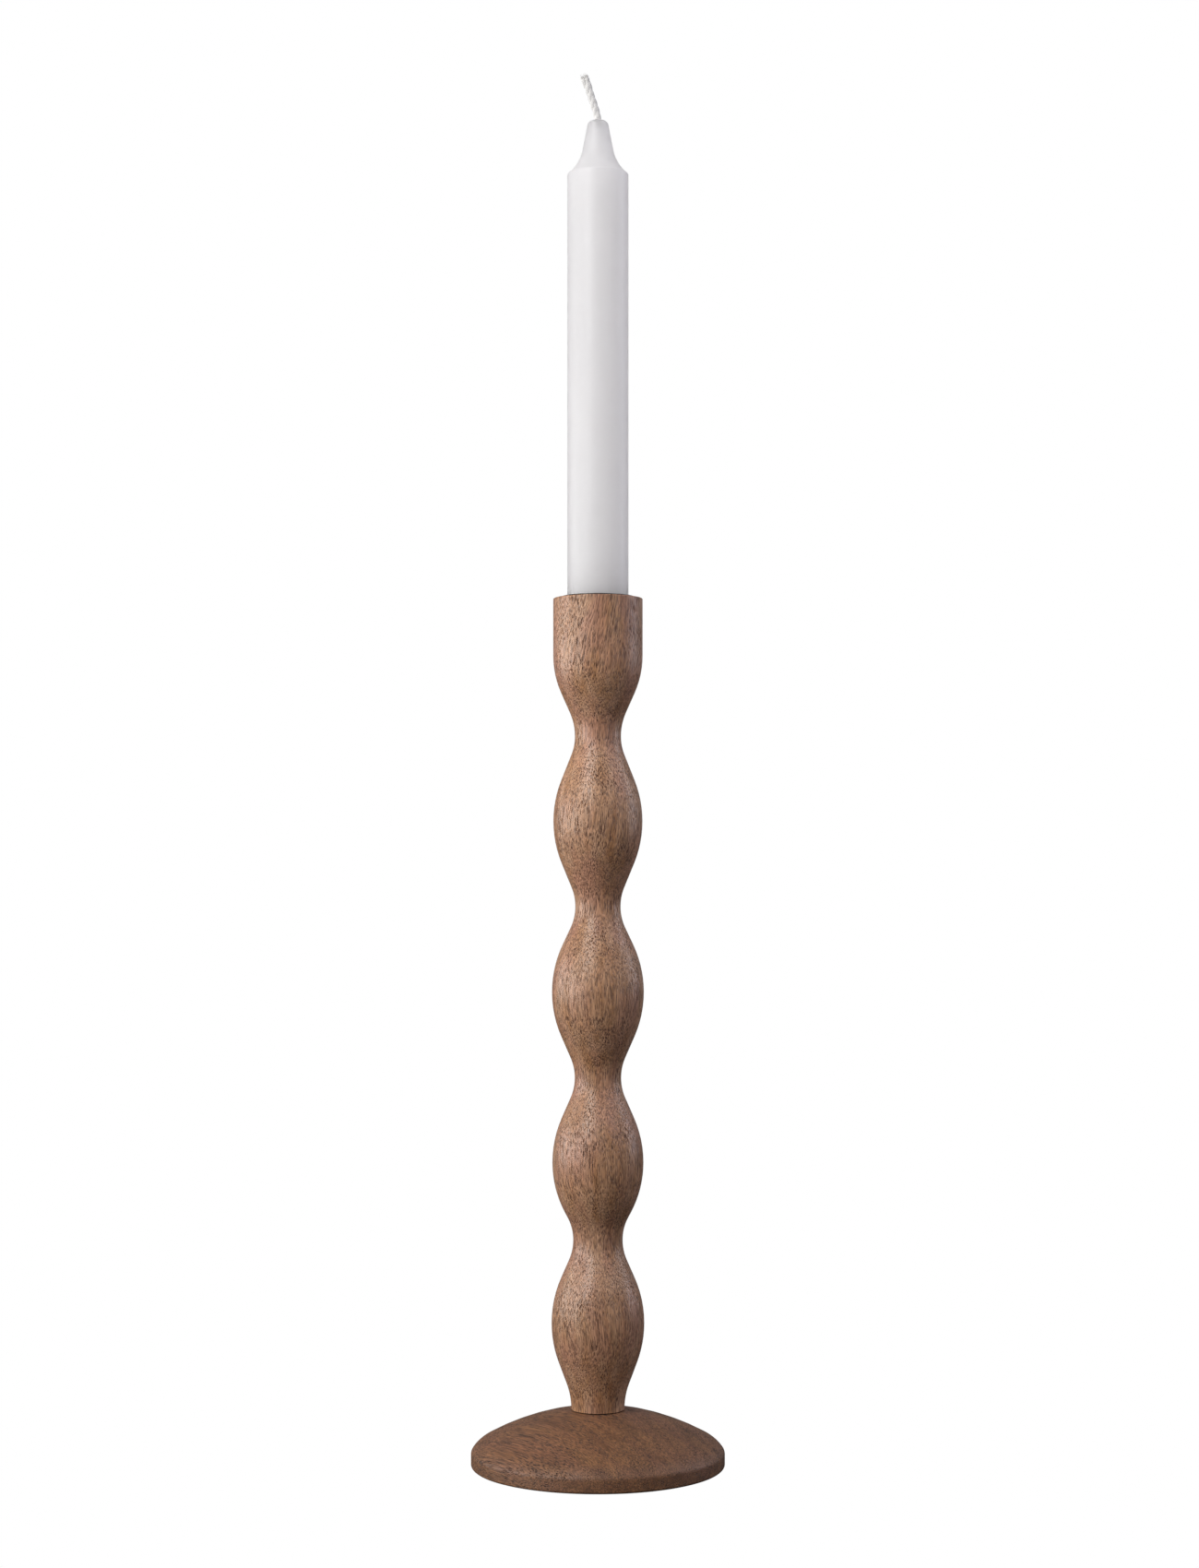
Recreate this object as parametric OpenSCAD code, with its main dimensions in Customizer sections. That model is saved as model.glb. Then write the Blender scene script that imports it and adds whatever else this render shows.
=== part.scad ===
// Turned wooden candlestick with four beads, a pressed-metal candle cup and a dinner candle.
// Millimetres. +Z is up, the origin is the centre of the face that it stands on.

/* [Base] */
// Radius of the round base
base_r = 45.7; // [44:0.1:46.5]
// Thickness of the base under the stem
base_h = 20.1; // [19.5:0.1:26]
// Radius of the tight round at the base's widest ring
edge_round = 2.5; // [1.5:0.1:3.5]
// Radius of the wider round above it, which runs up to the dome
shoulder_round = 12; // [10:0.5:15]
// How far the tight round turns inwards before the wider one starts, in degrees
edge_turn = 35; // [28:1:45]
// Radius of the dome's arc
dome_r = 92; // [88:0.5:110]

/* [Felt pad] */
// Thickness of the felt
felt_t = 1.2; // [1:0.1:2]
// How far the felt stands out of its recess under the base
felt_proud = 0.4; // [0.2:0.1:0.8]
// How far the felt stays inside the base's edge
felt_inset = 4; // [3:0.5:8]

/* [Stem] */
// Radii of the beads, from the lowest up
bead_r = [16.7, 16.4, 16.55, 16.05]; // [14:0.05:18]
// Radii of the coves above the beads, from the lowest up
cove_r = [8.9, 8.35, 8.15, 8.3]; // [7.5:0.05:10]
// Rise from the foot, or from the cove below, to each bead's widest ring
rise_to_bead = [31.3, 27.9, 30.9, 30.7]; // [26:0.1:34]
// Rise from each bead's widest ring to the narrowest ring of the cove above it
rise_to_cove = [29.9, 30.5, 30.8, 30.6]; // [26:0.1:34]
// Radius of the arc that each bead is turned to
bead_arc = 40; // [34:1:44]
// Radius of the arc that each cove is turned to
cove_arc = 18; // [12:0.5:20]
// Radius of the foot, where the stem meets the base
foot_r = 9.6; // [8.6:0.1:11]
// Radius of the arc that flares the foot
foot_arc = 26; // [18:1:32]

/* [Cup] */
// Radius of the wooden cup
cup_r = 16.1; // [15.5:0.05:18]
// Rise from the top cove to the cup's upright wall
cup_rise = 29; // [26:0.1:34]
// Height of the cup's upright wall
cup_wall = 20.6; // [16:0.1:26]
// Radius of the arc under the cup
cup_arc = 33; // [28:1:38]
// Radius of the cove under the cup
under_cup_arc = 21; // [15:1:24]
// Round on the rim's outer edge
rim_round = 0.4; // [0.3:0.1:1.5]

/* [Candle cup liner] */
// Inner radius of the metal liner
liner_r = 11.3; // [11.2:0.05:12]
// Wall thickness of the liner
liner_t = 0.45; // [0.3:0.05:0.6]
// Radius of the liner's flange, over its rolled edge
flange_r = 13.5; // [13:0.1:14.5]
// Depth of the liner, from the flange's top to the floor
liner_depth = 24; // [20:0.5:26]

/* [Candle] */
// Radius of the candle
candle_r = 11; // [10.5:0.1:11]
// Length of the wax
candle_len = 195.5; // [150:0.5:250]
// Radius of the wick
wick_r = 1.2; // [0.9:0.1:1.5]
// Length of wick that stands out of the wax
wick_out = 17; // [10:1:20]
// Lean of the wick from the vertical, in degrees
wick_lean = 18; // [5:1:25]

/* [Hidden] */
$fn = 96;
arc_step = 5; // degrees of arc between two points of a turned outline
skin = 0.01;  // lets a cutter run clear of the face that it opens

foot_z = felt_proud + base_h;
foot_ease = 0.4;       // the foot's lower edge lifts by this much, which shows as a dark line
foot_undercut = 1;     // and the thin gap runs in this far
seat_r = foot_r + 0.3; // flat seat for the foot, a little wider than it
base_ease = 1;         // round of the base's lower edge
felt_r = base_r - felt_inset;
felt_gap = 0.2;        // round the felt, in its recess
dome_off = 3.3;        // the dome's centre lies this far beyond the axis

tenon_r = 7.5;
tenon_len = 12;
glue_gap = 0.1;        // round the tenon and under its end

screw_r = 2.5;         // crest of the assembly screw's thread
screw_len = 50;
screw_tip = 6;
screw_pilot_r = 2.2;
head_r = 4.6;
head_h = 2.9;
head_bevel = 1;
recess_r = 8;          // recess for the washer and the screw's head, from below
recess_h = 5;
washer_r = 7.4;
washer_t = 1.2;
washer_hole_r = 2.7;
washer_z = felt_t + recess_h - washer_t;

roll_r = 0.3;          // half the thickness of the flange's rolled edge
flange_t = 2 * roll_r;
mouth_round = 0.4;     // lead-in at the liner's mouth
socket_gap = 0.05;     // between the liner and the wooden socket

small_r = 1.5;         // crest of the cup screw's thread
small_len = 14;
small_tip = 3;
small_pilot_r = 1.2;
small_head_r = 2.9;
dimple_r = 3.2;        // mouth of the liner's dimple, which the head sinks into
dimple_h = dimple_r - small_r;
dimple_hole_r = 1.7;

tip_top_r = 3.85;      // the moulded tip's radius at its top
tip_round = 2;
waist_r = 5.5;         // the tip's radius where it starts to flare
waist_drop = 10.3;     // and how far below the top that is
flare_arc = 16.2;
shoulder_in = 0.8;     // the shoulder's rounded edge, inwards and downwards
shoulder_drop = 1.1;
candle_ease = 0.8;     // chamfer at the candle's lower end
wick_bend_r = 15;      // radius of the wick's bend, at its centre line
wick_root = 1;         // the bend starts this far below the top of the wax

wood = [0.60, 0.44, 0.33];
dark_wood = [0.46, 0.32, 0.23];
bronze = [0.20, 0.16, 0.13];
steel = [0.72, 0.72, 0.74];
wax = [0.93, 0.92, 0.90];
cotton = [0.97, 0.96, 0.93];
felt = [0.16, 0.13, 0.11];

function reversed(v) = [for (i = [len(v) - 1 : -1 : 0]) v[i]];

// Points [r, z] of an arc round the point c, from angle a to angle b
function arc(c, radius, a, b) =
    let (n = max(1, ceil(abs(b - a) / arc_step)))
    [for (i = [0 : n]) c + radius * [cos(a + (b - a) * i / n), sin(a + (b - a) * i / n)]];

// Outline of one flank from a bead's widest ring to a cove's narrowest, both [r, z]: an arc, a
// straight line that touches both arcs, and an arc. Arcs too large for the flank are made smaller.
function flank(bead, cove, bead_radius, cove_radius) =
    let (along = abs(cove[1] - bead[1]),
         drop = bead[0] - cove[0],
         room = (along * along + drop * drop) / (2 * drop),
         fit = min(1, 0.995 * room / (bead_radius + cove_radius)),
         a = bead_radius * fit,
         b = cove_radius * fit,
         gap = a + b - drop,
         straight = sqrt(along * along + gap * gap - (a + b) * (a + b)),
         turn = atan2(along, gap) - atan2(straight, a + b),
         up = sign(cove[1] - bead[1]))
    concat(arc(bead - [a, 0], a, 0, up * turn), arc(cove + [b, 0], b, 180 + up * turn, 180));

// Height of the i-th bead's widest ring, and of the cove above it
function bead_z(i) = rise_to_bead[i] + (i == 0 ? foot_z : cove_z(i - 1));
function cove_z(i) = bead_z(i) + rise_to_cove[i];

last = len(bead_r) - 1;
cup_z = cove_z(last) + cup_rise;
top_z = cup_z + cup_wall;
liner_floor = top_z + flange_t - liner_depth;
wax_top = liner_floor + candle_len;

function bead(i) = [bead_r[i], bead_z(i)];
function cove(i) = [cove_r[i], cove_z(i)];

stem_outline = concat(
    [[0, foot_z], [foot_r - foot_undercut, foot_z]],
    reversed(flank(bead(0), [foot_r, foot_z + foot_ease], bead_arc, foot_arc)),
    [for (i = [0 : last]) each concat(
        i == 0 ? [] : reversed(flank(bead(i), cove(i - 1), bead_arc, cove_arc)),
        flank(bead(i), cove(i), bead_arc, cove_arc))],
    reversed(flank([cup_r, cup_z], cove(last), cup_arc, under_cup_arc)),
    arc([cup_r - rim_round, top_z - rim_round], rim_round, 0, 90),
    [[0, top_z]]);

// The dome's arc passes over the seat's edge. The wider round touches it, and the tight round
// touches the wider one and the side.
dome_c = [-dome_off, foot_z - sqrt(dome_r * dome_r - pow(seat_r + dome_off, 2))];
dome_start = acos((seat_r - dome_c[0]) / dome_r);
shoulder_x = base_r - edge_round - (shoulder_round - edge_round) * cos(edge_turn);
dome_end = acos((shoulder_x - dome_c[0]) / (dome_r - shoulder_round));
shoulder_c = dome_c + (dome_r - shoulder_round) * [cos(dome_end), sin(dome_end)];
edge_c = shoulder_c + (shoulder_round - edge_round) * [cos(edge_turn), sin(edge_turn)];
base_outline = concat(
    [[0, felt_proud]],
    arc([base_r - base_ease, felt_proud + base_ease], base_ease, -90, 0),
    arc(edge_c, edge_round, 0, edge_turn),
    arc(shoulder_c, shoulder_round, edge_turn, dome_end),
    arc(dome_c, dome_r, dome_end, dome_start),
    [[0, foot_z]]);

// The tip narrows upwards at a steady slope, and flares out below its waist to the shoulder
tip_slope = atan2(waist_r - tip_top_r, waist_drop - tip_round);
flare_c = [waist_r, wax_top - waist_drop] + flare_arc * [cos(tip_slope), sin(tip_slope)];
flare_end = acos((flare_c[0] - candle_r + shoulder_in) / flare_arc);
shoulder_z = flare_c[1] - flare_arc * sin(flare_end);
candle_outline = concat(
    [[0, liner_floor], [candle_r - candle_ease, liner_floor], [candle_r, liner_floor + candle_ease]],
    [[candle_r, shoulder_z - shoulder_drop],
     [candle_r - 0.3 * shoulder_in, shoulder_z - 0.3 * shoulder_drop]],
    reversed(arc(flare_c, flare_arc, 180 + tip_slope, 180 + flare_end)),
    arc([tip_top_r - tip_round, wax_top - tip_round], tip_round, tip_slope, 90),
    [[0, wax_top]]);

// Two arcs that meet repeat a point, so a point equal to the one before it is dropped
function cleaned(v) = [for (i = [0 : len(v) - 1]) if (i == 0 || norm(v[i] - v[i - 1]) > 0.001) v[i]];

module turned(outline) rotate_extrude() polygon(cleaned(outline));

module at_z(z) translate([0, 0, z]) children();

module cross_recess(size, width, depth) {
    for (turn = [0, 90]) {
        rotate([0, 0, turn]) translate([-size / 2, -width / 2, -depth]) cube([size, width, 2 * depth]);
    }
}

module felt_pad() {
    color(felt) cylinder(r = felt_r, h = felt_t);
}

module base() {
    mortise_z = foot_z - tenon_len - glue_gap;
    color(dark_wood) difference() {
        turned(base_outline);
        at_z(mortise_z) cylinder(r = tenon_r + glue_gap, h = tenon_len + glue_gap + skin);
        at_z(felt_proud - skin) cylinder(r = felt_r + felt_gap, h = felt_t - felt_proud + skin);
        at_z(felt_t - skin) cylinder(r = recess_r, h = recess_h + skin);
        at_z(felt_t) cylinder(r = washer_hole_r, h = mortise_z - felt_t + skin);
    }
}

module washer() {
    color(steel) at_z(washer_z) difference() {
        cylinder(r = washer_r, h = washer_t);
        at_z(-skin) cylinder(r = washer_hole_r, h = washer_t + 2 * skin);
    }
}

// Driven up through the washer and the base, with its head in the recess
module assembly_screw() {
    head_z = washer_z - head_h;
    body_h = screw_len - screw_tip;
    color(steel) difference() {
        union() {
            at_z(head_z) cylinder(r1 = head_r - head_bevel, r2 = head_r, h = head_bevel);
            at_z(head_z + head_bevel) cylinder(r = head_r, h = head_h - head_bevel);
            at_z(washer_z) cylinder(r = screw_r, h = body_h);
            at_z(washer_z + body_h) cylinder(r1 = screw_r, r2 = 0.2, h = screw_tip);
        }
        at_z(head_z) cross_recess(4.8, 0.9, 1.8);
    }
}

module stem() {
    liner_under = liner_floor - liner_t;
    tenon_z = foot_z - tenon_len;
    color(wood) difference() {
        union() {
            turned(stem_outline);
            at_z(tenon_z) cylinder(r = tenon_r, h = tenon_len);
        }
        // socket for the liner, with a countersink for its dimple
        at_z(liner_under - socket_gap) cylinder(r = liner_r + liner_t + socket_gap, h = liner_depth + 1);
        at_z(liner_under - dimple_h - liner_t)
            cylinder(r1 = small_pilot_r, r2 = dimple_r + 2 * liner_t, h = dimple_h + liner_t);
        at_z(liner_floor - small_len - 1) cylinder(r = small_pilot_r, h = small_len);
        // pilot hole for the assembly screw
        at_z(tenon_z - skin) cylinder(r = screw_pilot_r, h = washer_z + screw_len - tenon_z);
    }
}

// Pressed sheet metal: a floor with a dimple and a hole, a wall, and a flange with a rolled edge
module candle_cup() {
    color(bronze) {
        turned([
            [dimple_hole_r, liner_floor - dimple_h],
            [dimple_r, liner_floor],
            [liner_r, liner_floor],
            [liner_r, top_z + flange_t - mouth_round],
            [liner_r + mouth_round, top_z + flange_t],
            [flange_r - roll_r, top_z + flange_t],
            [flange_r - roll_r, top_z],
            [liner_r + liner_t, top_z],
            [liner_r + liner_t, liner_floor - liner_t],
            [dimple_r + 0.4 * liner_t, liner_floor - liner_t],
            [dimple_hole_r, liner_floor - liner_t - dimple_h]]);
        at_z(top_z + roll_r) rotate_extrude() {
            translate([flange_r - roll_r, 0]) circle(r = roll_r, $fn = 24);
        }
    }
}

module cup_screw() {
    head_h = small_head_r - small_r; // a countersunk head at 45 degrees
    color(steel) at_z(liner_floor - dimple_r + small_head_r) difference() {
        union() {
            at_z(-head_h) cylinder(r1 = small_r, r2 = small_head_r, h = head_h);
            at_z(small_tip - small_len) cylinder(r = small_r, h = small_len - small_tip);
            at_z(-small_len) cylinder(r1 = 0.2, r2 = small_r, h = small_tip);
        }
        cross_recess(3, 0.6, 1.2);
    }
}

// The same shape is cut from the wax, so that the wax closes round the wick
module wick_shape() {
    bend_z = wax_top - wick_root;
    bend_len = wick_bend_r * wick_lean * PI / 180;
    at_z(liner_floor) cylinder(r = wick_r, h = bend_z - liner_floor);
    translate([-wick_bend_r, 0, bend_z]) {
        rotate([90, 0, 0]) rotate_extrude(angle = wick_lean) {
            translate([wick_bend_r, 0]) circle(r = wick_r);
        }
        rotate([0, -wick_lean, 0]) translate([wick_bend_r, 0, 0]) {
            cylinder(r = wick_r, h = wick_out + wick_root - bend_len);
        }
    }
}

module candle() {
    color(wax) difference() {
        turned(candle_outline);
        wick_shape();
    }
}

module wick() {
    color(cotton) wick_shape();
}

felt_pad();
base();
washer();
assembly_screw();
stem();
candle_cup();
cup_screw();
candle();
wick();
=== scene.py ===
import math
import random

import bmesh
import bpy
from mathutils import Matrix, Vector


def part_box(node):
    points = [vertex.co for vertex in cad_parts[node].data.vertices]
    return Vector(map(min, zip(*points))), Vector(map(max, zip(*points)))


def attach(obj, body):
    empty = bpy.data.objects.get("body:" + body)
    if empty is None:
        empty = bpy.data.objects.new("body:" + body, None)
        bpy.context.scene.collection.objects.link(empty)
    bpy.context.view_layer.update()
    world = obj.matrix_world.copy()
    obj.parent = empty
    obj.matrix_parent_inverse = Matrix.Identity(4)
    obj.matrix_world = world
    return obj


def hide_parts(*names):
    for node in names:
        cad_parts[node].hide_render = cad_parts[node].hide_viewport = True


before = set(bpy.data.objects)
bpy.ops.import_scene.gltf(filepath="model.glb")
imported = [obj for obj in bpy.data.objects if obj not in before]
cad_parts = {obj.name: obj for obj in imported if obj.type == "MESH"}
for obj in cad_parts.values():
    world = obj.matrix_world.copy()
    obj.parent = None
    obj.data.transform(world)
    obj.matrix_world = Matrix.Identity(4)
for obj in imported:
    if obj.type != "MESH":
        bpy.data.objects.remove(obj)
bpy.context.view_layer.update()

# ---------------------------------------------------------------- camera
# The camera stands level, not quite a metre in front of the stem's axis, so that the base is
# seen from a little above and the cup's rim from a little below. The lens is shifted upwards,
# which keeps upright lines upright.
CAMERA_AWAY = 0.951  # metres, as the height and the step to the side are
CAMERA_HEIGHT = 0.2114
CAMERA_SIDE = 0.00057
SENSOR_MM = 36
LENS_MM = 60.6
LENS_SHIFT = 0.0611  # as a share of the frame's longer side

camera_data = bpy.data.cameras.new("camera")
camera_data.sensor_width = SENSOR_MM
camera_data.lens = LENS_MM
camera_data.shift_y = LENS_SHIFT
camera = bpy.data.objects.new("camera", camera_data)
camera.location = (CAMERA_SIDE, -CAMERA_AWAY, CAMERA_HEIGHT)
camera.rotation_euler = (math.radians(90), 0, 0)
bpy.context.scene.collection.objects.link(camera)
bpy.context.scene.camera = camera

# ---------------------------------------------------------------- base
# The foot of the candlestick: a round of dark hardwood with its grain lying level, turned to a
# low dome with a rounded edge. A mortise takes the stem's tenon, and a recess underneath hides
# the screw.
MM = 0.001
BASE_R = 45.7 * MM
BASE_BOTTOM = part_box("base")[0].z
SEAT_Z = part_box("base")[1].z
SEAT_R = 9.9 * MM  # flat seat under the stem's foot
BASE_EDGE_ROUND = 2.5 * MM
SHOULDER_ARC = 12 * MM
SHOULDER_TURN = math.radians(35)  # how far the edge's round turns in before the shoulder starts
BASE_LOWER_EASE = 1.0 * MM
DOME_R = 92 * MM
DOME_OFF = 3.3 * MM  # the dome's centre lies this far beyond the axis
FELT_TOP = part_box("felt_pad")[1].z
FELT_RECESS_R = 41.9 * MM
SCREW_RECESS_R = 8 * MM
SCREW_RECESS_TOP = FELT_TOP + 5 * MM
SCREW_HOLE_R = 2.7 * MM
MORTISE_R = 7.6 * MM
MORTISE_Z = SEAT_Z - 12.1 * MM
ARC_STEP = 4  # degrees between two points of a turned outline
ROUND_STEPS = 144  # faces round a turned piece
WELD = 0.001 * MM  # points nearer than this become one
SHARP = math.radians(32)  # a steeper edge than this is left crisp


def line_to(bm, vert, *points):
    """Carries an outline on by straight lines, to points given as radius and height."""
    for radius, height in points:
        vert = bmesh.ops.extrude_vert_indiv(bm, verts=[vert])["verts"][0]
        vert.co = (radius, 0, height)
    return vert


def arc_to(bm, vert, centre, degrees):
    """Carries an outline on by an arc round centre, anticlockwise seen from in front."""
    spun = bmesh.ops.spin(
        bm,
        geom=[vert],
        cent=(centre[0], 0, centre[1]),
        axis=(0, -1, 0),
        angle=math.radians(degrees),
        steps=max(2, math.ceil(abs(degrees) / ARC_STEP)),
        use_merge=False,
        use_duplicate=False,
    )
    return [g for g in spun["geom_last"] if isinstance(g, bmesh.types.BMVert)][0]


def piece(name, bm, material, body, replaced=None):
    """Makes the mesh a smooth-shaded piece with crisp steep edges, riding on its body."""
    for face in bm.faces:
        face.smooth = True
    for edge in bm.edges:
        edge.smooth = edge.calc_face_angle(0) < SHARP
    mesh = bpy.data.meshes.new(name)
    bm.to_mesh(mesh)
    bm.free()
    made = bpy.data.objects.new(name, mesh)
    mesh.materials.append(material)
    bpy.context.scene.collection.objects.link(made)
    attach(made, body)
    if replaced:
        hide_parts(replaced)
    return made


def lathe(bm, steps=ROUND_STEPS):
    """Turns an outline right round the upright axis, and faces the shell outwards."""
    bmesh.ops.spin(
        bm,
        geom=bm.verts[:] + bm.edges[:],
        cent=(0, 0, 0),
        axis=(0, 0, 1),
        angle=math.tau,
        steps=steps,
        use_merge=True,
        use_duplicate=False,
    )
    bmesh.ops.remove_doubles(bm, verts=bm.verts, dist=WELD)
    bmesh.ops.recalc_face_normals(bm, faces=bm.faces)


def linear(hex_colour):
    """Turns an sRGB hex colour to linear RGBA."""
    parts = [int(hex_colour[i : i + 2], 16) / 255 for i in (1, 3, 5)]
    return [c / 12.92 if c <= 0.04045 else ((c + 0.055) / 1.055) ** 2.4 for c in parts] + [1]


def node(tree, kind, sockets=None, **settings):
    """Adds a node. Each socket named is set to a value, or linked to another node's output."""
    made = tree.nodes.new(kind)
    for name, value in settings.items():
        setattr(made, name, value)
    for name, value in (sockets or {}).items():
        if isinstance(value, bpy.types.NodeSocket):
            tree.links.new(value, made.inputs[name])
        else:
            made.inputs[name].default_value = value
    return made


def surface(name, **sockets):
    """Starts a material. Underscores in the sockets' names stand for spaces."""
    made = bpy.data.materials.new(name)
    made.use_nodes = True
    shader = made.node_tree.nodes["Principled BSDF"]
    for socket, value in sockets.items():
        shader.inputs[socket.replace("_", " ")].default_value = value
    return made, made.node_tree, shader


def in_millimetres(tree, turn=0):
    """The piece's own coordinates in millimetres, turned by degrees about the upright axis."""
    place = node(tree, "ShaderNodeTexCoord").outputs["Object"]
    turned = (0, 0, math.radians(turn))
    return node(
        tree, "ShaderNodeMapping", {"Vector": place, "Rotation": turned, "Scale": [1 / MM] * 3}
    ).outputs[0]


GRAIN_WAVE = 38  # mm from one sway of the grain to the next
GRAIN_SWAY = 6  # mm that it sways to either side
LONG_PORE_DARK = 0.8  # how much of the pore colour shows in a vessel
SHORT_PORE_DARK = 0.62
SHORT_PORE_DEPTH = 0.6  # as shares of a long vessel's depth
FIBRE_DEPTH = 0.5
PORE_ROUGHNESS = 0.85
SHADE_DARKEST_AT = 40  # mm above the table, where the painted shade that darkens the wood downwards is darkest
SHADE_ENDS_AT = 240  # mm above the table, where it stops


def wood(name, colours, along, seed, relief, gloss, turn=0, sweep=None, reach=1.0, painted_falloff=0.0):
    """Open-pored hardwood, turned and oiled. The grain is a solid pattern: long thin vessels run
    along it, and show as streaks where the surface follows the grain and as dots where it cuts
    across. colours are light, dark, blush and pore. along is the number of the axis that the
    grain follows, once turn degrees have swung it about the upright one. sweep is the two heights
    between which the grain moves aside, and how far, in mm. relief is the depth of the open
    vessels, reach stretches the pattern along the grain, and the last argument is the share of
    its brightness that painted shade takes off the wood towards the foot, where less light falls."""
    light, dark, blush, pore = (linear(c) for c in colours)
    made, tree, shader = surface(name, IOR=1.5, Roughness=gloss)
    mm = in_millimetres(tree, turn)
    height = node(tree, "ShaderNodeSeparateXYZ", {0: mm}).outputs["Z"]
    if sweep:
        start, end, shift = sweep
        aside = node(
            tree,
            "ShaderNodeMapRange",
            {"Value": height, "From Min": start, "From Max": end, "To Max": -shift},
            interpolation_type="SMOOTHSTEP",
        ).outputs[0]
        offset = node(tree, "ShaderNodeCombineXYZ", {"X": aside}).outputs[0]
        mm = node(tree, "ShaderNodeVectorMath", {0: mm, 1: offset}, operation="ADD").outputs[0]
    moved = node(
        tree, "ShaderNodeVectorMath", {0: mm, 1: (seed, 1.7 * seed, 2.3 * seed)}, operation="ADD"
    ).outputs[0]

    def stretched(across, length):
        """Coordinates in units of a feature's width across the grain and its length along it."""
        scale = [1 / across] * 3
        scale[along] = 1 / (reach * length)
        return node(
            tree, "ShaderNodeVectorMath", {0: wandering, 1: scale}, operation="MULTIPLY"
        ).outputs[0]

    # The grain wanders a few millimetres to either side over the length of a bead
    drift = node(
        tree, "ShaderNodeTexNoise", {"Vector": moved, "Scale": 1 / GRAIN_WAVE, "Detail": 1.0}
    ).outputs["Color"]
    wandering = node(
        tree,
        "ShaderNodeVectorMath",
        {0: drift, 1: [GRAIN_SWAY / reach] * 3, 2: moved},
        operation="MULTIPLY_ADD",
    ).outputs[0]

    def pores(across, length, start, full, crowding):
        """Spindles of open vessel, wider where the vessels crowd. Start and full are the
        distances from a vessel's middle where it starts and where it is deepest."""
        middle = node(
            tree, "ShaderNodeTexVoronoi", {"Vector": stretched(across, length), "Scale": 1.0}
        ).outputs["Distance"]
        edge = node(
            tree,
            "ShaderNodeMath",
            {0: crowd, 1: -crowding, 2: middle},
            operation="MULTIPLY_ADD",
        ).outputs[0]
        return node(
            tree,
            "ShaderNodeMapRange",
            {
                "Value": edge,
                "From Min": start - 0.5 * crowding,
                "From Max": full - 0.5 * crowding,
            },
            interpolation_type="SMOOTHSTEP",
        ).outputs[0]

    # The vessels are a quarter to a third of a millimetre across, a little wider than most real
    # ones, so that they show. Long ones and short ones crowd together in patches. The fibres are
    # too fine to show, so they are drawn as bundles almost half a millimetre wide.
    crowd = node(
        tree, "ShaderNodeTexNoise", {"Vector": stretched(4, 11), "Scale": 1.0, "Detail": 2.0}
    ).outputs[0]
    long_pore = pores(across=0.55, length=15, start=0.28, full=0.15, crowding=0.6)
    short_pore = pores(across=0.4, length=3, start=0.42, full=0.2, crowding=0.35)
    fibre = node(
        tree, "ShaderNodeTexNoise", {"Vector": stretched(0.4, 6), "Scale": 1.0, "Detail": 2.0}
    ).outputs[0]

    # Growth rings: soft bands a few millimetres wide, and broad patches of pinker wood. Noise
    # keeps mostly to the middle of its range, so each mask spreads that part out.
    bands = node(
        tree, "ShaderNodeTexNoise", {"Vector": stretched(3.5, 60), "Scale": 1.0, "Detail": 3.0}
    ).outputs[0]
    patches = node(
        tree, "ShaderNodeTexNoise", {"Vector": stretched(9, 26), "Scale": 1.0, "Detail": 2.0}
    ).outputs[0]
    band_mix = node(
        tree, "ShaderNodeMapRange", {"Value": bands, "From Min": 0.32, "From Max": 0.68}
    ).outputs[0]
    patch_mix = node(
        tree,
        "ShaderNodeMapRange",
        {"Value": patches, "From Min": 0.42, "From Max": 0.66, "To Max": 0.8},
    ).outputs[0]
    streaks = node(
        tree,
        "ShaderNodeMapRange",
        {"Value": fibre, "From Min": 0.3, "From Max": 0.7, "To Min": 0.5, "To Max": 1.5},
    ).outputs[0]
    banded = node(
        tree, "ShaderNodeMix", {0: band_mix, 6: light, 7: dark}, data_type="RGBA"
    ).outputs[2]
    blushed = node(
        tree, "ShaderNodeMix", {0: patch_mix, 6: banded, 7: blush}, data_type="RGBA"
    ).outputs[2]
    # Painted shade: less light falls low down, so the wood's colour is darkened towards the foot
    shade = node(
        tree,
        "ShaderNodeMapRange",
        {
            "Value": height,
            "From Min": SHADE_DARKEST_AT,
            "From Max": SHADE_ENDS_AT,
            "To Min": 1 - painted_falloff,
        },
    ).outputs[0]
    falloff_shaded = node(
        tree, "ShaderNodeVectorMath", {0: blushed, "Scale": shade}, operation="SCALE"
    ).outputs[0]
    streaked = node(
        tree, "ShaderNodeVectorMath", {0: falloff_shaded, "Scale": streaks}, operation="SCALE"
    ).outputs[0]
    short_dark = node(
        tree, "ShaderNodeMath", {0: short_pore, 1: SHORT_PORE_DARK}, operation="MULTIPLY"
    ).outputs[0]
    darkness = node(
        tree,
        "ShaderNodeMath",
        {0: long_pore, 1: LONG_PORE_DARK, 2: short_dark},
        operation="MULTIPLY_ADD",
        use_clamp=True,
    ).outputs[0]
    colour = node(
        tree, "ShaderNodeMix", {0: darkness, 6: streaked, 7: pore}, data_type="RGBA"
    ).outputs[2]
    tree.links.new(colour, shader.inputs["Base Color"])

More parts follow.
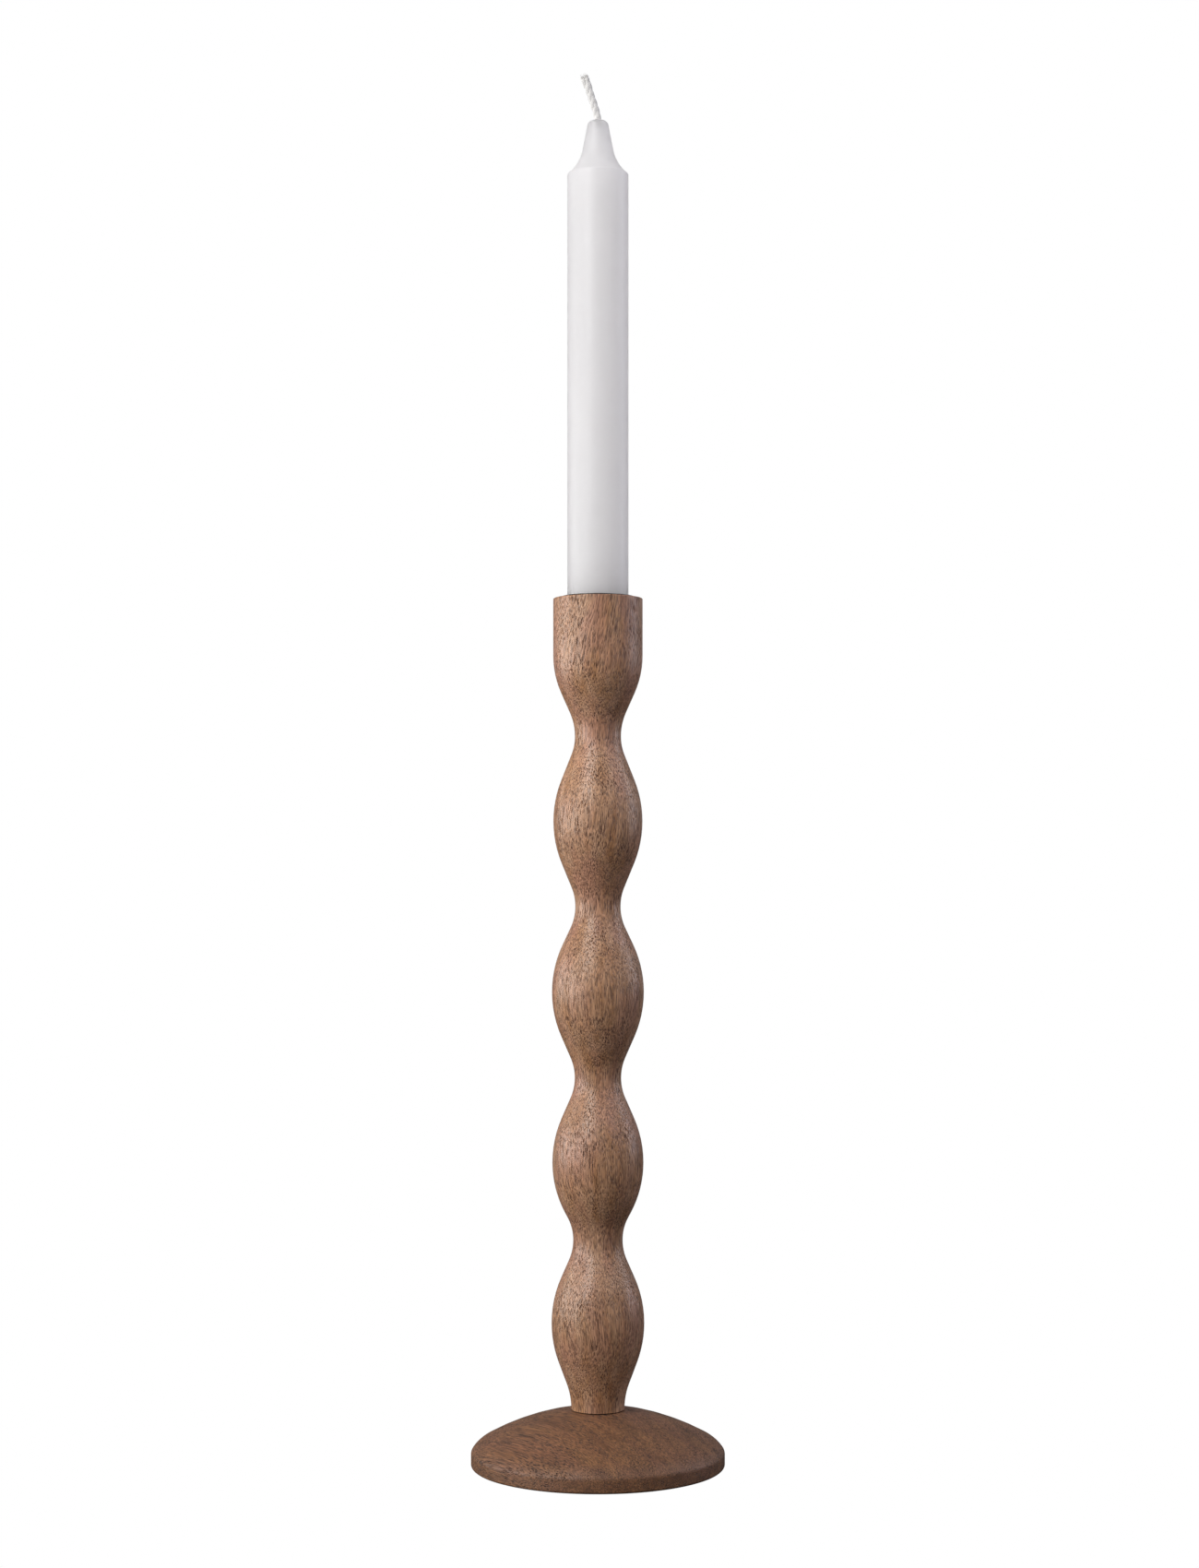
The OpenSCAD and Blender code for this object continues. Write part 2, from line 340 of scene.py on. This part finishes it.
    # The vessels are open grooves, and the fibres between them stand a little proud
    groove = node(
        tree,
        "ShaderNodeMath",
        {0: short_pore, 1: SHORT_PORE_DEPTH, 2: long_pore},
        operation="MULTIPLY_ADD",
    ).outputs[0]
    sunk = node(tree, "ShaderNodeMath", {0: groove, 1: -1}, operation="MULTIPLY").outputs[0]
    skin = node(
        tree,
        "ShaderNodeMath",
        {0: fibre, 1: FIBRE_DEPTH, 2: sunk},
        operation="MULTIPLY_ADD",
    ).outputs[0]
    bump = node(
        tree, "ShaderNodeBump", {"Height": skin, "Strength": 1.0, "Distance": relief}
    ).outputs[0]
    tree.links.new(bump, shader.inputs["Normal"])
    rough = node(
        tree,
        "ShaderNodeMapRange",
        {"Value": darkness, "To Min": gloss, "To Max": PORE_ROUGHNESS},
    ).outputs[0]
    tree.links.new(rough, shader.inputs["Roughness"])
    return made


# Oiled hardwood, darker and redder than the stem, with streaks on top and end grain in front
base_wood = wood(
    "oiled_dark_hardwood",
    ("#7d5637", "#603f28", "#734d36", "#2b190e"),
    along=0,
    seed=31.0,
    relief=0.12 * MM,
    gloss=0.55,
    turn=50,
    reach=2.2,
)

outline = bmesh.new()
dome_centre = (-DOME_OFF, SEAT_Z - math.sqrt(DOME_R**2 - (SEAT_R + DOME_OFF) ** 2))
inwards = SHOULDER_ARC - BASE_EDGE_ROUND
edge_r = BASE_R - BASE_EDGE_ROUND
shoulder_r = edge_r - inwards * math.cos(SHOULDER_TURN)
dome_low = math.acos((shoulder_r + DOME_OFF) / (DOME_R - SHOULDER_ARC))
dome_high = math.acos((SEAT_R + DOME_OFF) / DOME_R)
shoulder_z = dome_centre[1] + (DOME_R - SHOULDER_ARC) * math.sin(dome_low)
edge_z = shoulder_z + inwards * math.sin(SHOULDER_TURN)
ease_centre = (BASE_R - BASE_LOWER_EASE, BASE_BOTTOM + BASE_LOWER_EASE)
first = outline.verts.new((SCREW_HOLE_R, 0, MORTISE_Z))
at = line_to(
    outline,
    first,
    (SCREW_HOLE_R, SCREW_RECESS_TOP),
    (SCREW_RECESS_R, SCREW_RECESS_TOP),
    (SCREW_RECESS_R, FELT_TOP),
    (FELT_RECESS_R, FELT_TOP),
    (FELT_RECESS_R, BASE_BOTTOM),
    (ease_centre[0], BASE_BOTTOM),
)
at = arc_to(outline, at, ease_centre, 90)
at = line_to(outline, at, (BASE_R, edge_z))
at = arc_to(outline, at, (edge_r, edge_z), math.degrees(SHOULDER_TURN))
at = arc_to(outline, at, (shoulder_r, shoulder_z), math.degrees(dome_low - SHOULDER_TURN))
at = arc_to(outline, at, dome_centre, math.degrees(dome_high - dome_low))
at = line_to(outline, at, (MORTISE_R, SEAT_Z), (MORTISE_R, MORTISE_Z))
outline.edges.new((at, first))
lathe(outline, steps=192)
piece("base_round", outline, base_wood, "holder", "base")

# ---------------------------------------------------------------- felt pad
# A round of pressed wool felt, glued in a shallow recess under the base. It stands a little
# proud, so that the wood never touches the table.
FELT_R = 41.7 * MM
FELT_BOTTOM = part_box("felt_pad")[0].z
FELT_EDGE = 0.25 * MM


def clouds(tree, shader, scale, detail, tones):
    """Colours a material between two tones by a soft pattern, which has about scale clouds to a
    millimetre. Gives the pattern and the colour."""
    pattern = node(
        tree,
        "ShaderNodeTexNoise",
        {"Vector": in_millimetres(tree), "Scale": scale, "Detail": detail},
    ).outputs[0]
    low, high = (linear(tone) for tone in tones)
    colour = node(
        tree, "ShaderNodeMix", {0: pattern, 6: low, 7: high}, data_type="RGBA"
    ).outputs[2]
    tree.links.new(colour, shader.inputs["Base Color"])
    return pattern, colour


# Pressed felt: matt, with short fibres that lie every way and catch light at the edge
felt, tree, shader = surface("pressed_felt", Roughness=0.95, IOR=1.45, Sheen_Weight=0.35)
fluff, _ = clouds(tree, shader, 2.2, 4.0, ("#2a221d", "#463a32"))
felt_bump = node(tree, "ShaderNodeBump", {"Height": fluff, "Distance": 0.15 * MM}).outputs[0]
tree.links.new(felt_bump, shader.inputs["Normal"])

outline = bmesh.new()
at = outline.verts.new((0, 0, FELT_BOTTOM))
at = line_to(outline, at, (FELT_R - FELT_EDGE, FELT_BOTTOM))
at = arc_to(outline, at, (FELT_R - FELT_EDGE, FELT_BOTTOM + FELT_EDGE), 90)
at = line_to(outline, at, (FELT_R, FELT_TOP), (0, FELT_TOP))
lathe(outline, steps=96)
felt_piece = piece("felt_round", outline, felt, "holder", "felt_pad")

# ---------------------------------------------------------------- assembly screw and washer
# A zinc-plated wood screw goes up through a washer in the base's recess and holds the stem.
# Its pan head and cross recess point down, and the felt covers them.

# Zinc plating over steel: pale, slightly mottled metal with a soft gloss
zinc, tree, shader = surface("zinc_plated_steel", Metallic=1.0, Roughness=0.34)
mottle, _ = clouds(tree, shader, 0.9, 3.0, ("#b9bbbf", "#d4d5d6"))
zinc_rough = node(
    tree, "ShaderNodeMapRange", {"Value": mottle, "To Min": 0.26, "To Max": 0.42}
).outputs[0]
tree.links.new(zinc_rough, shader.inputs["Roughness"])

# The small screw in the candle cup is plated too
for name in ("washer", "assembly_screw", "cup_screw"):
    for own in bpy.data.objects[name].material_slots:
        own.material = zinc

# ---------------------------------------------------------------- stem
# One length of hardwood with upright grain, turned between centres: a flared foot, a run of
# beads and coves, and a cup at the top. A tenon at its foot is glued into the base, and a
# socket is bored in the cup for the metal liner.
FOOT_Z = SEAT_Z
FOOT_R = 9.6 * MM
FOOT_EASE = 0.4 * MM  # the foot lifts by this much at its edge, which shows as a dark line
FOOT_UNDERCUT = 1.0 * MM
FOOT_ARC = 26 * MM
BEAD_ARC = 40 * MM
COVE_ARC = 18 * MM
BEADS = [(16.7, 31.3), (16.4, 89.1), (16.55, 150.5), (16.05, 212.0)]  # radius, height on foot
COVES = [(8.9, 61.2), (8.35, 119.6), (8.15, 181.3), (8.3, 242.6)]
CUP_R = 16.1 * MM
CUP_Z = FOOT_Z + 271.6 * MM  # where the cup's wall becomes upright
CUP_ARC = 33 * MM
UNDER_CUP_ARC = 21 * MM
RIM_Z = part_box("stem")[1].z
RIM_ROUND = 0.4 * MM
TENON_R = 7.5 * MM
TENON_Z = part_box("stem")[0].z
PILOT_R = 2.2 * MM
PILOT_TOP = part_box("assembly_screw")[1].z
SOCKET_R = 11.8 * MM
SOCKET_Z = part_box("candle")[0].z - 0.5 * MM
SOCKET_EASE = 0.3 * MM
DIMPLE_R = 4.1 * MM
DIMPLE_Z = SOCKET_Z - 2.1 * MM
SMALL_PILOT_R = 1.2 * MM
SMALL_PILOT_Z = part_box("cup_screw")[0].z - 1 * MM
ARC_SHARE = 0.995  # two arcs never take up all of a flank, so that a short line joins them


def flank(bm, vert, low, high):
    """Carries an outline up from one ring to the next, each given as radius, height and arc: an
    arc, a straight line that touches both arcs, and an arc. One ring is a bead, one a cove.
    Arcs too large for the flank are made smaller."""
    (r_low, z_low, arc_low), (r_high, z_high, arc_high) = low, high
    outward = 1 if r_high > r_low else -1
    along = z_high - z_low
    rise = abs(r_high - r_low)
    room = (along**2 + rise**2) / (2 * rise)
    fit = min(1, ARC_SHARE * room / (arc_low + arc_high))
    arc_low, arc_high = fit * arc_low, fit * arc_high
    arcs = arc_low + arc_high
    gap = arcs - rise
    straight = math.sqrt(along**2 + gap**2 - arcs**2)
    lean = math.atan2(along, gap) - math.atan2(straight, arcs)
    vert = arc_to(bm, vert, (r_low + outward * arc_low, z_low), -outward * math.degrees(lean))
    centre = r_high - outward * arc_high
    start = (centre + outward * arc_high * math.cos(lean), z_high - arc_high * math.sin(lean))
    vert = line_to(bm, vert, start)
    return arc_to(bm, vert, (centre, z_high), outward * math.degrees(lean))


# Oiled hardwood with upright grain, which sweeps aside in the cup. Painted shade darkens it
# towards the foot, where less light falls.
stem_wood = wood(
    "oiled_upright_hardwood",
    ("#b18a6d", "#996e4c", "#a3765f", "#502c17"),
    along=2,
    seed=4.0,
    relief=0.17 * MM,
    gloss=0.36,
    sweep=(272, 322, 7),
    painted_falloff=0.14,
)

rings = [(FOOT_R, FOOT_Z + FOOT_EASE, FOOT_ARC)]
for (bead_r, bead_z), (cove_r, cove_z) in zip(BEADS, COVES):
    rings.append((bead_r * MM, FOOT_Z + bead_z * MM, BEAD_ARC))
    rings.append((cove_r * MM, FOOT_Z + cove_z * MM, COVE_ARC))

outline = bmesh.new()
at = outline.verts.new((0, 0, PILOT_TOP))
at = line_to(
    outline,
    at,
    (PILOT_R, PILOT_TOP),
    (PILOT_R, TENON_Z),
    (TENON_R, TENON_Z),
    (TENON_R, FOOT_Z),
    (FOOT_R - FOOT_UNDERCUT, FOOT_Z),
    rings[0][:2],
)
for low, high in zip(rings, rings[1:]):
    at = flank(outline, at, low, high)
at = flank(
    outline,
    at,
    (rings[-1][0], rings[-1][1], UNDER_CUP_ARC),
    (CUP_R, CUP_Z, CUP_ARC),
)
at = line_to(outline, at, (CUP_R, RIM_Z - RIM_ROUND))
at = arc_to(outline, at, (CUP_R - RIM_ROUND, RIM_Z - RIM_ROUND), 90)
line_to(
    outline,
    at,
    (SOCKET_R + SOCKET_EASE, RIM_Z),
    (SOCKET_R, RIM_Z - SOCKET_EASE),
    (SOCKET_R, SOCKET_Z),
    (DIMPLE_R, SOCKET_Z),
    (SMALL_PILOT_R, DIMPLE_Z),
    (SMALL_PILOT_R, SMALL_PILOT_Z),
    (0, SMALL_PILOT_Z),
)
lathe(outline)
piece("turned_stem", outline, stem_wood, "holder", "stem")

# ---------------------------------------------------------------- candle cup
# A liner pressed from thin sheet metal, so that wax doesn't soak into the wood. Its flange has
# a rolled edge and lies on the rim, and its dimpled floor takes a countersunk screw.
CUP_IN_R = 11.3 * MM
CUP_WALL = 0.45 * MM
FLANGE_R = 13.5 * MM
ROLL_R = 0.3 * MM
FLOOR_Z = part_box("candle")[0].z
FLANGE_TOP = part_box("candle_cup")[1].z
MOUTH_ROUND = 0.4 * MM
CUP_DIMPLE_R = 3.2 * MM
CUP_HOLE_R = 1.7 * MM
CUP_DIMPLE_H = 1.7 * MM
CUP_DIMPLE_UNDER_R = CUP_DIMPLE_R + 0.4 * CUP_WALL  # the dimple's edge, seen from below
FLOOR_ROUND = 0.8 * MM

# Bronzed sheet metal: almost black brown, with a worn satin gloss
bronze, tree, shader = surface("bronzed_sheet_metal", Metallic=1.0, Roughness=0.38)
patina, _ = clouds(tree, shader, 0.7, 4.0, ("#2b2320", "#4a3a30"))
bronze_rough = node(
    tree, "ShaderNodeMapRange", {"Value": patina, "To Min": 0.3, "To Max": 0.5}
).outputs[0]
tree.links.new(bronze_rough, shader.inputs["Roughness"])

outline = bmesh.new()
first = outline.verts.new((CUP_HOLE_R, 0, FLOOR_Z - CUP_DIMPLE_H))
at = line_to(outline, first, (CUP_DIMPLE_R, FLOOR_Z), (CUP_IN_R - FLOOR_ROUND, FLOOR_Z))
at = arc_to(outline, at, (CUP_IN_R - FLOOR_ROUND, FLOOR_Z + FLOOR_ROUND), 90)
at = line_to(outline, at, (CUP_IN_R, FLANGE_TOP - MOUTH_ROUND))
at = arc_to(outline, at, (CUP_IN_R + MOUTH_ROUND, FLANGE_TOP - MOUTH_ROUND), -90)
at = line_to(outline, at, (FLANGE_R - ROLL_R, FLANGE_TOP))
at = arc_to(outline, at, (FLANGE_R - ROLL_R, FLANGE_TOP - ROLL_R), -180)
floor_under = FLOOR_Z - CUP_WALL
outer_r = CUP_IN_R + CUP_WALL
at = line_to(outline, at, (outer_r, RIM_Z), (outer_r, floor_under + FLOOR_ROUND))
at = arc_to(outline, at, (outer_r - FLOOR_ROUND, floor_under + FLOOR_ROUND), -90)
at = line_to(
    outline,
    at,
    (CUP_DIMPLE_UNDER_R, floor_under),
    (CUP_HOLE_R, floor_under - CUP_DIMPLE_H),
)
outline.edges.new((at, first))
lathe(outline, steps=96)
piece("pressed_liner", outline, bronze, "holder", "candle_cup")

# ---------------------------------------------------------------- candle
# A moulded dinner candle of white wax. Its tip narrows at a steady slope above a flared
# shoulder, and its foot has a small chamfer from the mould.
CANDLE_R = 11 * MM
WAX_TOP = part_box("candle")[1].z
CANDLE_EASE = 0.8 * MM
TIP_TOP_R = 3.85 * MM
TIP_ROUND = 2.0 * MM
WAIST_R = 5.5 * MM
WAIST_DROP = 10.3 * MM  # the flare starts this far below the top
FLARE_ARC = 16.2 * MM
SHOULDER_ROUND = 1.0 * MM
SHOULDER_IN = 0.8 * SHOULDER_ROUND  # the round ends this far inside the candle's side
SHOULDER_SWEEP = 78  # degrees that it turns through
WICK_HOLE_R = 0.9 * MM
WICK_HOLE_Z = WAX_TOP - 3 * MM
LIGHT_THROUGH = 0.45  # the share of the light that passes through the wax

# White candle wax: satin and cloudy. Light spreads in it, and some of it passes right through,
# so that the candle's shaded side stays light.
wax, tree, shader = surface(
    "white_candle_wax",
    IOR=1.44,
    Roughness=0.36,
    Subsurface_Weight=1.0,
    Subsurface_Radius=(1.0, 1.0, 1.0),
    Subsurface_Scale=30 * MM,
)
_, wax_colour = clouds(tree, shader, 0.12, 2.0, ("#f2efee", "#f5f3f2"))
ripple = node(
    tree, "ShaderNodeTexNoise", {"Vector": in_millimetres(tree), "Scale": 0.35, "Detail": 2.0}
).outputs[0]
wax_bump = node(tree, "ShaderNodeBump", {"Height": ripple, "Distance": 0.05 * MM}).outputs[0]
tree.links.new(wax_bump, shader.inputs["Normal"])
through = node(tree, "ShaderNodeBsdfTranslucent", {"Color": wax_colour}).outputs[0]
cloudy = node(
    tree, "ShaderNodeMixShader", {0: LIGHT_THROUGH, 1: shader.outputs[0], 2: through}
).outputs[0]
tree.links.new(cloudy, tree.nodes["Material Output"].inputs["Surface"])

outline = bmesh.new()
tip_slope = math.atan2(WAIST_R - TIP_TOP_R, WAIST_DROP - TIP_ROUND)
flare_centre = (
    WAIST_R + FLARE_ARC * math.cos(tip_slope),
    WAX_TOP - WAIST_DROP + FLARE_ARC * math.sin(tip_slope),
)
# The shoulder's round touches the candle's side and meets the flare where it stops
flare_end = math.acos((flare_centre[0] - CANDLE_R + SHOULDER_IN) / FLARE_ARC)
shoulder = (CANDLE_R - SHOULDER_IN, flare_centre[1] - FLARE_ARC * math.sin(flare_end))
at = outline.verts.new((0, 0, FLOOR_Z))
at = line_to(
    outline,
    at,
    (CANDLE_R - CANDLE_EASE, FLOOR_Z),
    (CANDLE_R, FLOOR_Z + CANDLE_EASE),
    (CANDLE_R, shoulder[1] - SHOULDER_ROUND),
)
round_centre = (CANDLE_R - SHOULDER_ROUND, shoulder[1] - SHOULDER_ROUND)
at = arc_to(outline, at, round_centre, SHOULDER_SWEEP)
at = line_to(outline, at, shoulder)
at = arc_to(outline, at, flare_centre, -math.degrees(flare_end - tip_slope))
tip_centre = (TIP_TOP_R - TIP_ROUND, WAX_TOP - TIP_ROUND)
at = line_to(
    outline,
    at,
    (
        tip_centre[0] + TIP_ROUND * math.cos(tip_slope),
        tip_centre[1] + TIP_ROUND * math.sin(tip_slope),
    ),
)
at = arc_to(outline, at, tip_centre, 90 - math.degrees(tip_slope))
line_to(
    outline, at, (WICK_HOLE_R, WAX_TOP), (WICK_HOLE_R, WICK_HOLE_Z), (0, WICK_HOLE_Z)
)
lathe(outline, steps=96)
piece("moulded_candle", outline, wax, "candle_body", "candle")

# ---------------------------------------------------------------- wick
# Three strands of white cotton, plaited flat and cut off above the wax. The cut end has sprung
# open, and short fibres stand out of it.
WICK_BEND_R = 15 * MM
WICK_LEAN = 18  # degrees
WICK_FOOT = 1 * MM  # the bend starts this far down in the wax, and the strands twice that again
WICK_OUT = 17 * MM
PLAIT_WIDTH = 0.42 * MM
PLAIT_DEPTH = 0.16 * MM
PLAIT_PITCH = 8.5 * MM
STRAND_R = 0.93 * MM
STRAND_STEPS = 64
STRAND_TAPER = 0.04 / MM  # each millimetre of the open end takes this share off the radius
STRAND_CUT = 0.8  # the share of it that is left at the cut
SPLAY = 1.5 * MM  # how far the strands part at the cut
SPLAY_START = 12.5 * MM
SPLAY_ASIDE = (-0.6, 0.05, 0.55)  # each strand's part in it, sideways and then backwards
SPLAY_BACK = (0.12, -0.3, 0.15)
FIBRES = 330
FIBRE_R = 0.06 * MM  # real ones are finer, and wouldn't show
FIBRE_ROOT = (0.2 * MM, 1.2 * MM)  # the least and the most that a root lies below the cut
FIBRE_REACH = (0.6 * MM, 1.5 * MM)  # the least and the most that a fibre stands out
FIBRE_STRAY = (0.22 * MM, 0.08 * MM, 0.26 * MM)  # how far it strays at its root, middle and end

# Bleached cotton: soft white yarn, with a faint shadow between its twisted threads
cotton, tree, shader = surface("bleached_cotton", Roughness=0.9, IOR=1.45, Sheen_Weight=0.3)
yarn, _ = clouds(tree, shader, 3.0, 2.0, ("#cbc9c6", "#e2e0dd"))
cotton_bump = node(tree, "ShaderNodeBump", {"Height": yarn, "Distance": 0.04 * MM}).outputs[0]
tree.links.new(cotton_bump, shader.inputs["Normal"])

bend_turn = math.radians(WICK_LEAN)
bend_len = WICK_BEND_R * bend_turn
bend_foot = Vector((0, 0, WAX_TOP - WICK_FOOT))


def wick_place(s):
    """Where the wick's centre line is at length s above its bend's foot, and its direction."""
    turn = min(max(s, 0) / WICK_BEND_R, bend_turn)
    on_bend = Vector((-WICK_BEND_R * (1 - math.cos(turn)), 0, WICK_BEND_R * math.sin(turn)))
    ahead = Vector((-math.sin(turn), 0, math.cos(turn)))
    beyond = s if s < 0 else max(0, s - bend_len)
    return bend_foot + on_bend + ahead * beyond, ahead


def strand_point(s, strand):
    """A point on one of the plait's three strands. Near the cut end the plait springs open."""
    centre, ahead = wick_place(s)
    side = Vector((0, 1, 0)).cross(ahead)
    phase = math.tau * (s / PLAIT_PITCH + strand / 3)
    opened = max(0, (s - SPLAY_START) / (WICK_OUT - SPLAY_START))
    across = PLAIT_WIDTH * math.sin(phase) + SPLAY * opened**1.5 * SPLAY_ASIDE[strand]
    deep = PLAIT_DEPTH * math.sin(2 * phase) + SPLAY * opened * SPLAY_BACK[strand]
    return centre + side * across + Vector((0, 1, 0)) * deep


def add_threads(bm, threads, roundness):
    """Adds round threads to a mesh. Each is given as its points and its radius at each."""
    curve = bpy.data.curves.new("threads", "CURVE")
    curve.dimensions = "3D"
    curve.bevel_depth = 1.0
    curve.bevel_resolution = roundness
    curve.use_fill_caps = True
    for points, radii in threads:
        spline = curve.splines.new("POLY")
        spline.points.add(len(points) - 1)
        for point, place, radius in zip(spline.points, points, radii):
            point.co = (*place, 1)
            point.radius = radius
    holder = bpy.data.objects.new("threads", curve)
    bpy.context.scene.collection.objects.link(holder)
    depsgraph = bpy.context.evaluated_depsgraph_get()
    made = bpy.data.meshes.new_from_object(holder.evaluated_get(depsgraph))
    bm.from_mesh(made)
    bpy.data.objects.remove(holder)
    bpy.data.meshes.remove(made)
    bpy.data.curves.remove(curve)


strands = []
for strand in range(3):
    below = 2 * WICK_FOOT
    stations = [(WICK_OUT + below) * i / STRAND_STEPS - below for i in range(STRAND_STEPS + 1)]
    radii = [STRAND_R * (1 - STRAND_TAPER * max(0, s - SPLAY_START)) for s in stations]
    radii[-1] *= STRAND_CUT
    strands.append(([strand_point(s, strand) for s in stations], radii))

random.seed(7)
fibres = []
for i in range(FIBRES):
    strand = i % 3
    root = strand_point(WICK_OUT - random.uniform(*FIBRE_ROOT), strand)
    ahead = (strand_point(WICK_OUT + 0.1 * MM, strand) - root).normalized()
    stray = Vector([random.gauss(0, 1) for _ in range(3)])
    out = root + stray * FIBRE_STRAY[0]
    reach = random.uniform(*FIBRE_REACH)
    middle = out + ahead * 0.5 * reach + stray * FIBRE_STRAY[1]
    end = out + ahead * reach + stray * FIBRE_STRAY[2]
    fibres.append(([root, out, middle, end], [FIBRE_R] * 3 + [0.5 * FIBRE_R]))

plait_bm = bmesh.new()
add_threads(plait_bm, strands, 3)
add_threads(plait_bm, fibres, 1)
bmesh.ops.remove_doubles(plait_bm, verts=plait_bm.verts, dist=0.5 * WELD)
bmesh.ops.recalc_face_normals(plait_bm, faces=plait_bm.faces)
piece("plaited_wick", plait_bm, cotton, "candle_body", "wick")

# ---------------------------------------------------------------- stage
# A plain table that runs on to a white background. Both look pure white to the camera only. The
# table's own paint is dark grey, so that it throws little light back on the object, whose
# shaded side stays dark.
FLOOR_HALF = 6.0  # metres

# Matt paint: the eye meets it only as the dim light that it throws back on the object
floor_paint, tree, shader = surface(
    "white_table", Roughness=0.9, IOR=1.4, Base_Color=linear("#403e40")
)
output = tree.nodes["Material Output"]
seen = node(tree, "ShaderNodeLightPath").outputs["Is Camera Ray"]
looks = node(tree, "ShaderNodeEmission", {"Strength": 1.0}).outputs[0]
both = node(
    tree, "ShaderNodeMixShader", {0: seen, 1: shader.outputs[0], 2: looks}
).outputs[0]
tree.links.new(both, output.inputs["Surface"])
floor_bm = bmesh.new()
bmesh.ops.create_grid(floor_bm, x_segments=1, y_segments=1, size=FLOOR_HALF)
floor_mesh = bpy.data.meshes.new("table_top")
floor_bm.to_mesh(floor_mesh)
floor_bm.free()
floor_mesh.materials.append(floor_paint)
table_top = bpy.data.objects.new("table_top", floor_mesh)
bpy.context.scene.collection.objects.link(table_top)

# ---------------------------------------------------------------- light
# A large softbox hangs to the left in front, and a wide one stands close on the left. A dim cool
# one on the right and one a little behind it draw the edge of the shaded side. The white
# background itself gives little light.
AIM = Vector((0, 0, 0.30))  # the lights all face this point, by the cup
BACKGROUND_LIGHT = 0.26


def softbox(name, azimuth, elevation, away, size, watts, colour="#ffffff"):
    """Hangs a rectangular light. Its azimuth, in degrees, is 0 in front and grows to the right.
    How far away it is and its width and height are in metres."""
    data = bpy.data.lights.new(name, "AREA")
    data.shape = "RECTANGLE"
    data.size, data.size_y = size
    data.energy = watts
    data.color = linear(colour)[:3]
    light = bpy.data.objects.new(name, data)
    a, e = math.radians(azimuth), math.radians(elevation)
    towards = Vector((math.sin(a) * math.cos(e), -math.cos(a) * math.cos(e), math.sin(e)))
    light.location = AIM + towards * away
    light.rotation_euler = towards.to_track_quat("Z", "Y").to_euler()
    bpy.context.scene.collection.objects.link(light)


softbox("key", -35, 34, 1.5, (0.6, 1.1), 17.6)
softbox("left", -80, 0, 1.1, (1.6, 0.5), 11.0)
softbox("right", 62, 42, 1.5, (1.1, 1.1), 4.4, "#f6f2ff")
softbox("rim", 104, 14, 1.3, (0.5, 1.0), 5.0, "#ecf0ff")

world = bpy.data.worlds.new("white_studio")
world.use_nodes = True
tree = world.node_tree
tree.nodes.clear()
seen = node(tree, "ShaderNodeLightPath").outputs["Is Camera Ray"]
dim = node(
    tree, "ShaderNodeBackground", {"Color": linear("#f9faff"), "Strength": BACKGROUND_LIGHT}
).outputs[0]
white = node(
    tree, "ShaderNodeBackground", {"Color": linear("#ffffff"), "Strength": 1.0}
).outputs[0]
sky = node(tree, "ShaderNodeMixShader", {0: seen, 1: dim, 2: white}).outputs[0]
node(tree, "ShaderNodeOutputWorld", {"Surface": sky})
bpy.context.scene.world = world
bpy.context.scene.view_settings.view_transform = "Standard"
